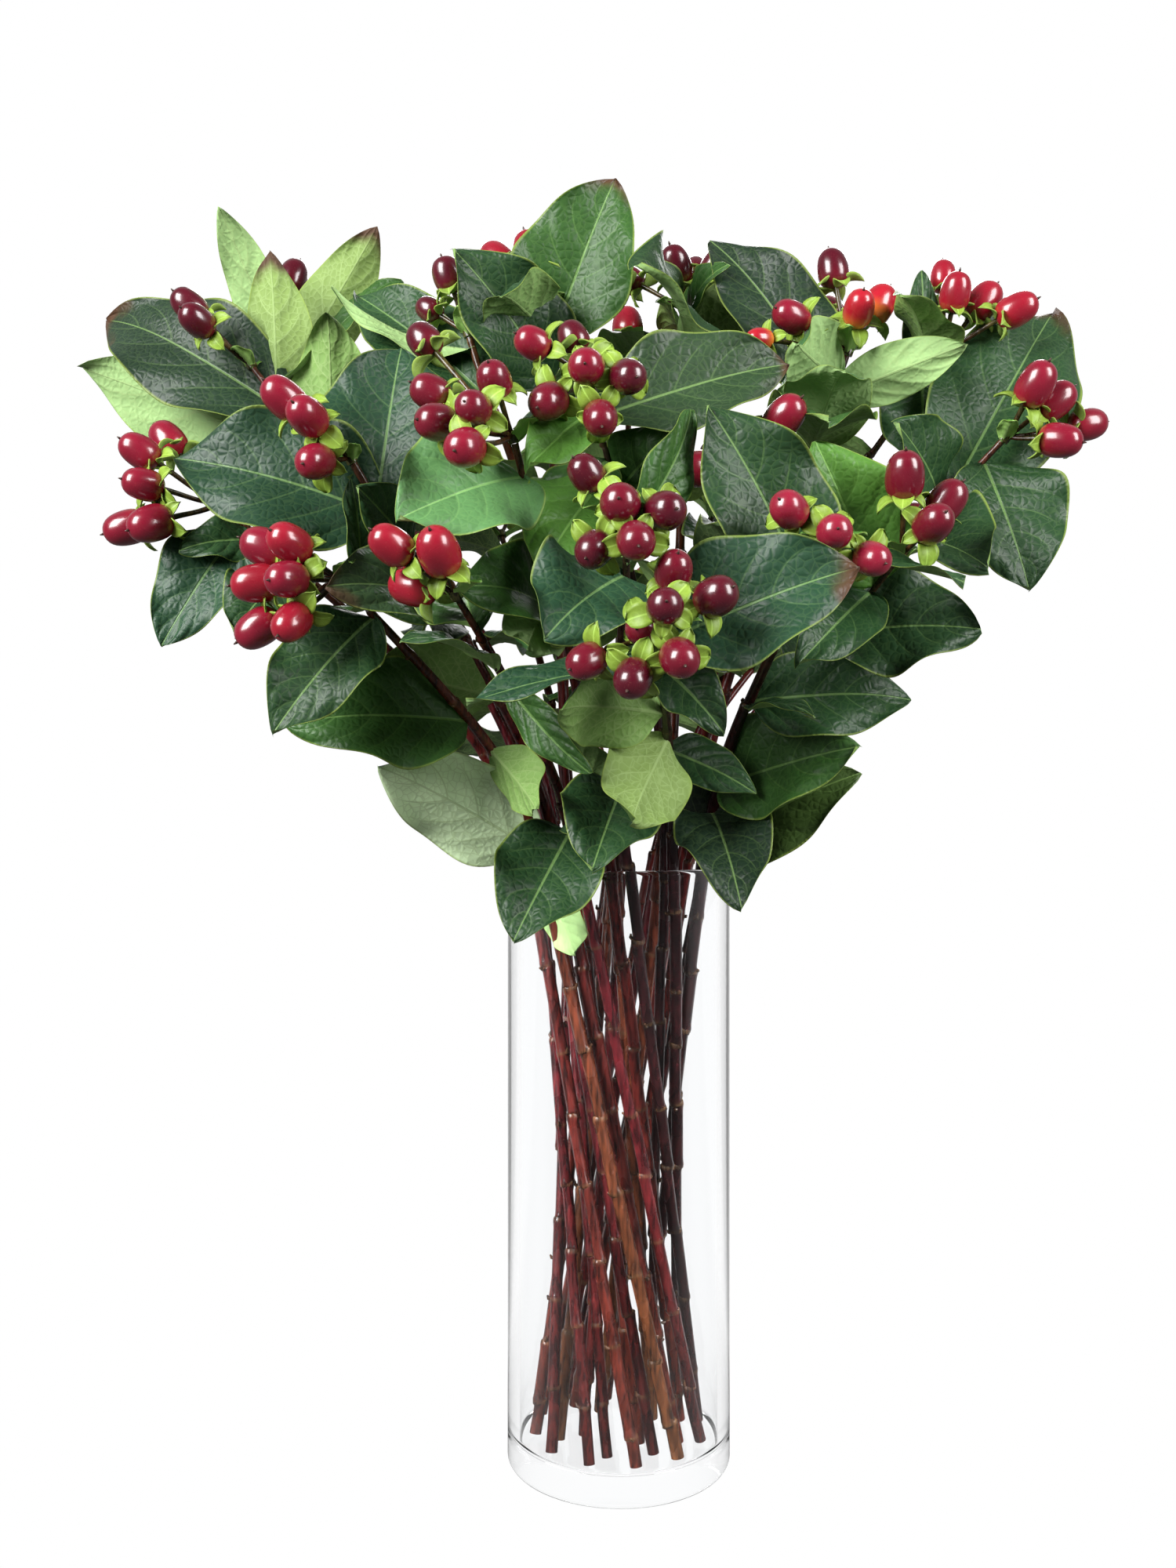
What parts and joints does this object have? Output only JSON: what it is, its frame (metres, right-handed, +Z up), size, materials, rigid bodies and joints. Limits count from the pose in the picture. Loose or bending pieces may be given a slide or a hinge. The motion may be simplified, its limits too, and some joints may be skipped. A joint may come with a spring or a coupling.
{
  "type": "hypericum berry stems in a glass vase",
  "caption": "Loose bunch of cut leafy stems with heads of red berries, standing in a straight clear glass cylinder vase.",
  "frame": {"origin": "middle of the vase's flat underside", "axes": "+Z up along the vase's axis, -Y towards the front of the bunch, +X to its right seen from the front"},
  "size_m": [0.3563, 0.2702, 0.4392],
  "materials": {
    "glass": "clear polished glass",
    "foliage": "living leaf, satin dark bluish green with a paler underside, and red-brown bark on the stems",
    "berries": "glossy crimson berry skin, with yellow-green sepals and thin red-brown stalks"
  },
  "bodies": {
    "root": {"vase": "glass", "leafy_stem_01": "foliage", "leafy_stem_02": "foliage", "leafy_stem_03": "foliage", "leafy_stem_04": "foliage", "leafy_stem_05": "foliage", "leafy_stem_06": "foliage", "leafy_stem_07": "foliage", "leafy_stem_08": "foliage", "leafy_stem_09": "foliage", "leafy_stem_10": "foliage", "leafy_stem_11": "foliage", "leafy_stem_12": "foliage", "leafy_stem_13": "foliage", "leafy_stem_14": "foliage", "leafy_stem_15": "foliage", "leafy_stem_16": "foliage", "leafy_stem_17": "foliage", "leafy_stem_18": "foliage", "leafy_stem_19": "foliage", "leafy_stem_20": "foliage", "leafy_stem_21": "foliage", "leafy_stem_22": "foliage", "leafy_stem_23": "foliage", "leafy_stem_24": "foliage", "leafy_stem_25": "foliage", "berry_head_01": "berries", "berry_head_02": "berries", "berry_head_03": "berries", "berry_head_04": "berries", "berry_head_05": "berries", "berry_head_06": "berries", "berry_head_07": "berries", "berry_head_08": "berries", "berry_head_09": "berries", "berry_head_10": "berries", "berry_head_11": "berries", "berry_head_12": "berries", "berry_head_13": "berries", "berry_head_14": "berries", "berry_head_15": "berries", "berry_head_16": "berries", "berry_head_17": "berries", "berry_head_18": "berries", "berry_head_19": "berries", "berry_head_20": "berries", "berry_head_21": "berries", "berry_head_22": "berries", "berry_head_23": "berries", "berry_head_24": "berries", "berry_head_25": "berries"}
  },
  "joints": []
}
